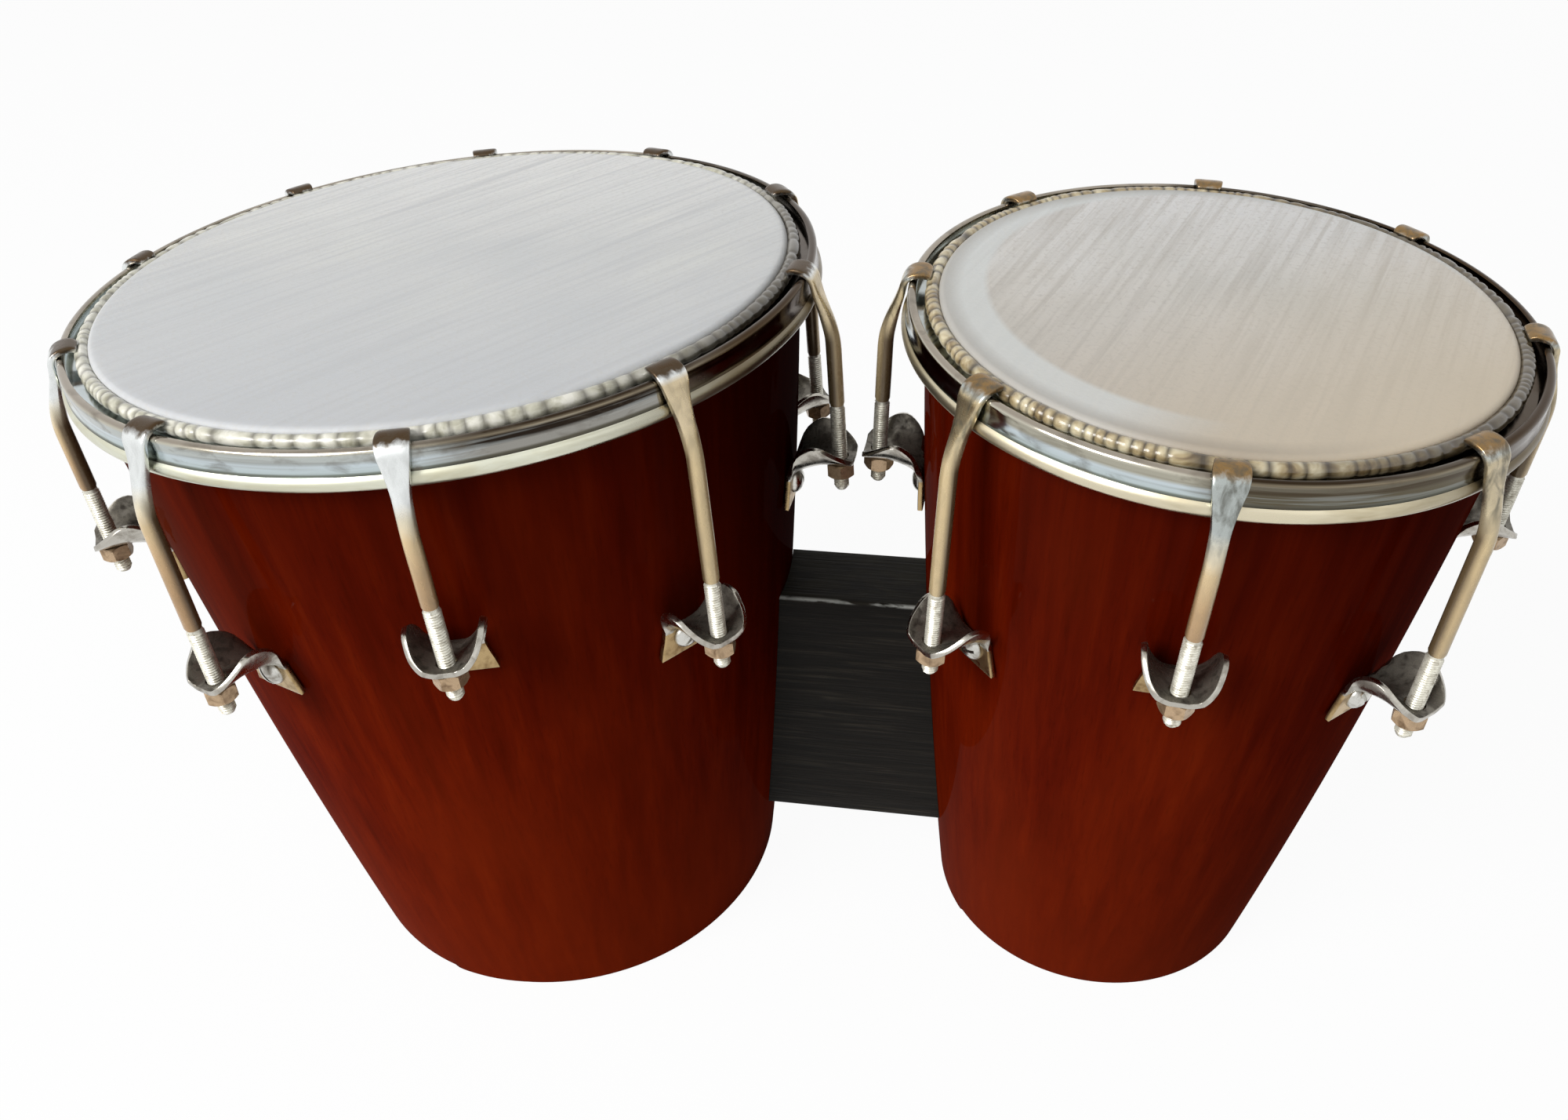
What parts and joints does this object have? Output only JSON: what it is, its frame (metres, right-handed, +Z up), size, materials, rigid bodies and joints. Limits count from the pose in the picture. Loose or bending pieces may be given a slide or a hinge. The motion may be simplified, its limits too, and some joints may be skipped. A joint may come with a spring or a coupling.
{
  "type": "bongos",
  "caption": "Pair of tapered wooden hand drums on a centre block, with rims, hooked tension rods, folded lugs and tuning nuts.",
  "frame": {"origin": "on the floor, in the middle of the pair's width and depth", "axes": "+X from the larger drum to the smaller, +Y to the back, +Z up"},
  "size_m": [0.429, 0.2353, 0.242],
  "materials": {
    "mahogany": "deep red-brown gloss lacquer",
    "skin": "pale matt drum skin",
    "hoop_steel": "plain steel wire",
    "rim_plate": "bright plate",
    "lug_plate": "bright plate, slightly warm",
    "nut_plate": "bright plate",
    "bolt_plate": "zinc plate",
    "black_paint": "brushed black paint on wood"
  },
  "bodies": {
    "shells_and_block": {"large_shell": "mahogany", "small_shell": "mahogany", "large_lug_01": "lug_plate", "large_lug_02": "lug_plate", "large_lug_03": "lug_plate", "large_lug_04": "lug_plate", "large_lug_05": "lug_plate", "large_lug_06": "lug_plate", "large_lug_07": "lug_plate", "large_lug_08": "lug_plate", "large_lug_09": "lug_plate", "large_lug_10": "lug_plate", "small_lug_01": "lug_plate", "small_lug_02": "lug_plate", "small_lug_03": "lug_plate", "small_lug_04": "lug_plate", "small_lug_05": "lug_plate", "small_lug_06": "lug_plate", "small_lug_07": "lug_plate", "small_lug_08": "lug_plate", "centre_block": "black_paint", "lower_large_tie_washer": "bolt_plate", "lower_small_tie_washer": "bolt_plate", "lower_tie_bolt": "bolt_plate", "lower_tie_nut": "bolt_plate", "upper_large_tie_washer": "bolt_plate", "upper_small_tie_washer": "bolt_plate", "upper_tie_bolt": "bolt_plate", "upper_tie_nut": "bolt_plate"},
    "large_tension_ring": {"large_rim_and_hooks": "rim_plate", "large_head": "skin", "large_flesh_hoop": "hoop_steel"},
    "small_tension_ring": {"small_rim_and_hooks": "rim_plate", "small_head": "skin", "small_flesh_hoop": "hoop_steel"},
    "large_nut_01": {"large_tuning_nut_01": "nut_plate"},
    "large_nut_02": {"large_tuning_nut_02": "nut_plate"},
    "large_nut_03": {"large_tuning_nut_03": "nut_plate"},
    "large_nut_04": {"large_tuning_nut_04": "nut_plate"},
    "large_nut_05": {"large_tuning_nut_05": "nut_plate"},
    "large_nut_06": {"large_tuning_nut_06": "nut_plate"},
    "large_nut_07": {"large_tuning_nut_07": "nut_plate"},
    "large_nut_08": {"large_tuning_nut_08": "nut_plate"},
    "large_nut_09": {"large_tuning_nut_09": "nut_plate"},
    "large_nut_10": {"large_tuning_nut_10": "nut_plate"},
    "small_nut_01": {"small_tuning_nut_01": "nut_plate"},
    "small_nut_02": {"small_tuning_nut_02": "nut_plate"},
    "small_nut_03": {"small_tuning_nut_03": "nut_plate"},
    "small_nut_04": {"small_tuning_nut_04": "nut_plate"},
    "small_nut_05": {"small_tuning_nut_05": "nut_plate"},
    "small_nut_06": {"small_tuning_nut_06": "nut_plate"},
    "small_nut_07": {"small_tuning_nut_07": "nut_plate"},
    "small_nut_08": {"small_tuning_nut_08": "nut_plate"}
  },
  "joints": [
    {"name": "large_head_travel", "type": "slide", "parent": "shells_and_block", "child": "large_tension_ring", "axis": [-0.044, 0.0274, 0.9987], "range_m": [0, 0.0035]},
    {"name": "small_head_travel", "type": "slide", "parent": "shells_and_block", "child": "small_tension_ring", "axis": [0.044, -0.0274, 0.9987], "range_m": [0, 0.0035]},
    {"name": "large_nut_01_turn", "type": "hinge", "parent": "shells_and_block", "child": "large_nut_01", "pos_m": [0.0213, -0.00461, 0.17537], "axis": [-0.044, 0.0274, 0.9987], "range_deg": [-1575, 0]},
    {"name": "large_nut_02_turn", "type": "hinge", "parent": "shells_and_block", "child": "large_nut_02", "pos_m": [0.00365, 0.06401, 0.15519], "axis": [-0.044, 0.0274, 0.9987], "range_deg": [-1575, 0]},
    {"name": "large_nut_03_turn", "type": "hinge", "parent": "shells_and_block", "child": "large_nut_03", "pos_m": [-0.05263, 0.10952, 0.16899], "axis": [-0.044, 0.0274, 0.9987], "range_deg": [-1575, 0]},
    {"name": "large_nut_04_turn", "type": "hinge", "parent": "shells_and_block", "child": "large_nut_04", "pos_m": [-0.12326, 0.11278, 0.14827], "axis": [-0.044, 0.0274, 0.9987], "range_deg": [-1575, 0]},
    {"name": "large_nut_05_turn", "type": "hinge", "parent": "shells_and_block", "child": "large_nut_05", "pos_m": [-0.18404, 0.0743, 0.16417], "axis": [-0.044, 0.0274, 0.9987], "range_deg": [-1575, 0]},
    {"name": "large_nut_06_turn", "type": "hinge", "parent": "shells_and_block", "child": "large_nut_06", "pos_m": [-0.20898, 0.00703, 0.14739], "axis": [-0.044, 0.0274, 0.9987], "range_deg": [-1575, 0]},
    {"name": "large_nut_07_turn", "type": "hinge", "parent": "shells_and_block", "child": "large_nut_07", "pos_m": [-0.19132, -0.0616, 0.16758], "axis": [-0.044, 0.0274, 0.9987], "range_deg": [-1575, 0]},
    {"name": "large_nut_08_turn", "type": "hinge", "parent": "shells_and_block", "child": "large_nut_08", "pos_m": [-0.13504, -0.1071, 0.15378], "axis": [-0.044, 0.0274, 0.9987], "range_deg": [-1575, 0]},
    {"name": "large_nut_09_turn", "type": "hinge", "parent": "shells_and_block", "child": "large_nut_09", "pos_m": [-0.06442, -0.11036, 0.1745], "axis": [-0.044, 0.0274, 0.9987], "range_deg": [-1575, 0]},
    {"name": "large_nut_10_turn", "type": "hinge", "parent": "shells_and_block", "child": "large_nut_10", "pos_m": [-0.00364, -0.07188, 0.1586], "axis": [-0.044, 0.0274, 0.9987], "range_deg": [-1575, 0]},
    {"name": "small_nut_01_turn", "type": "hinge", "parent": "shells_and_block", "child": "small_nut_01", "pos_m": [0.20981, -0.0061, 0.16609], "axis": [0.044, -0.0274, 0.9987], "range_deg": [-1575, 0]},
    {"name": "small_nut_02_turn", "type": "hinge", "parent": "shells_and_block", "child": "small_nut_02", "pos_m": [0.1864, 0.05856, 0.15137], "axis": [0.044, -0.0274, 0.9987], "range_deg": [-1575, 0]},
    {"name": "small_nut_03_turn", "type": "hinge", "parent": "shells_and_block", "child": "small_nut_03", "pos_m": [0.12578, 0.0874, 0.17235], "axis": [0.044, -0.0274, 0.9987], "range_deg": [-1575, 0]},
    {"name": "small_nut_04_turn", "type": "hinge", "parent": "shells_and_block", "child": "small_nut_04", "pos_m": [0.06084, 0.06515, 0.15707], "axis": [0.044, -0.0274, 0.9987], "range_deg": [-1575, 0]},
    {"name": "small_nut_05_turn", "type": "hinge", "parent": "shells_and_block", "child": "small_nut_05", "pos_m": [0.03224, 0.00321, 0.17416], "axis": [0.044, -0.0274, 0.9987], "range_deg": [-1575, 0]},
    {"name": "small_nut_06_turn", "type": "hinge", "parent": "shells_and_block", "child": "small_nut_06", "pos_m": [0.05411, -0.0605, 0.15392], "axis": [0.044, -0.0274, 0.9987], "range_deg": [-1575, 0]},
    {"name": "small_nut_07_turn", "type": "hinge", "parent": "shells_and_block", "child": "small_nut_07", "pos_m": [0.11626, -0.09029, 0.16789], "axis": [0.044, -0.0274, 0.9987], "range_deg": [-1575, 0]},
    {"name": "small_nut_08_turn", "type": "hinge", "parent": "shells_and_block", "child": "small_nut_08", "pos_m": [0.17967, -0.06708, 0.14822], "axis": [0.044, -0.0274, 0.9987], "range_deg": [-1575, 0]}
  ],
  "couplings": [
    {"joint": "large_nut_01_turn", "follows": "large_head_travel", "rad_per_m": -7854},
    {"joint": "large_nut_02_turn", "follows": "large_head_travel", "rad_per_m": -7854},
    {"joint": "large_nut_03_turn", "follows": "large_head_travel", "rad_per_m": -7854},
    {"joint": "large_nut_04_turn", "follows": "large_head_travel", "rad_per_m": -7854},
    {"joint": "large_nut_05_turn", "follows": "large_head_travel", "rad_per_m": -7854},
    {"joint": "large_nut_06_turn", "follows": "large_head_travel", "rad_per_m": -7854},
    {"joint": "large_nut_07_turn", "follows": "large_head_travel", "rad_per_m": -7854},
    {"joint": "large_nut_08_turn", "follows": "large_head_travel", "rad_per_m": -7854},
    {"joint": "large_nut_09_turn", "follows": "large_head_travel", "rad_per_m": -7854},
    {"joint": "large_nut_10_turn", "follows": "large_head_travel", "rad_per_m": -7854},
    {"joint": "small_nut_01_turn", "follows": "small_head_travel", "rad_per_m": -7854},
    {"joint": "small_nut_02_turn", "follows": "small_head_travel", "rad_per_m": -7854},
    {"joint": "small_nut_03_turn", "follows": "small_head_travel", "rad_per_m": -7854},
    {"joint": "small_nut_04_turn", "follows": "small_head_travel", "rad_per_m": -7854},
    {"joint": "small_nut_05_turn", "follows": "small_head_travel", "rad_per_m": -7854},
    {"joint": "small_nut_06_turn", "follows": "small_head_travel", "rad_per_m": -7854},
    {"joint": "small_nut_07_turn", "follows": "small_head_travel", "rad_per_m": -7854},
    {"joint": "small_nut_08_turn", "follows": "small_head_travel", "rad_per_m": -7854}
  ]
}
